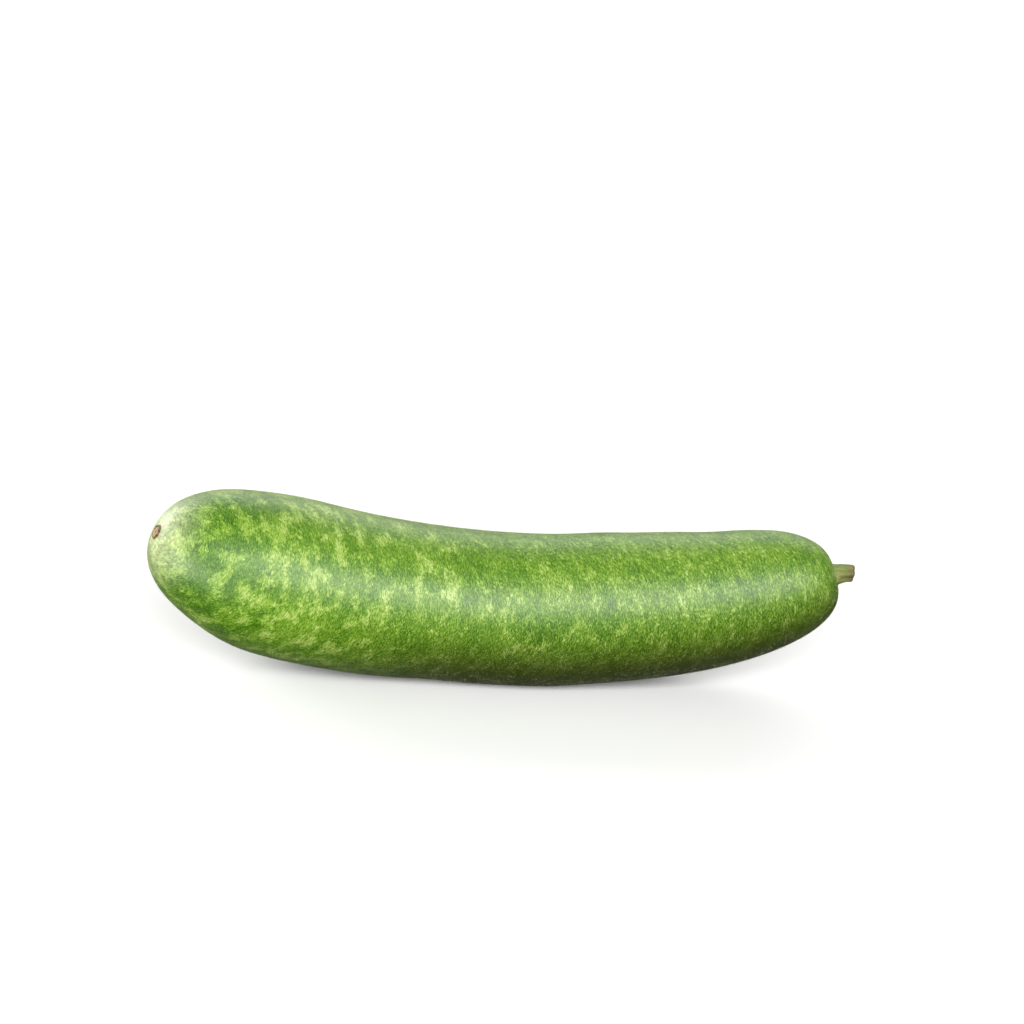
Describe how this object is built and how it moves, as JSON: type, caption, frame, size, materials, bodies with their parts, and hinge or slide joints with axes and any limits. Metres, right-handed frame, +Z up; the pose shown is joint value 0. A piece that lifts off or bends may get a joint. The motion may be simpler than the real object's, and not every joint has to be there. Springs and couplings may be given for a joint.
{
  "type": "bottle gourd",
  "caption": "Whole long bottle gourd, gently curved with rounded ends, a short cut stem stub and a blossom scar, lying on its flattened belly",
  "frame": {"origin": "on the surface that the gourd lies on, under the middle of its bounding box", "axes": "+Z up, +X along the gourd from the blossom end to the stem end, -Y to the side that faces the viewer"},
  "size_m": [0.3946, 0.0946, 0.1022],
  "materials": {
    "skin": "satin, mottled green",
    "stalk": "matt, ridged",
    "cork": "matt, dry"
  },
  "bodies": {
    "root": {"fruit": "skin", "stem": "stalk", "blossom_scar": "cork"}
  },
  "joints": []
}
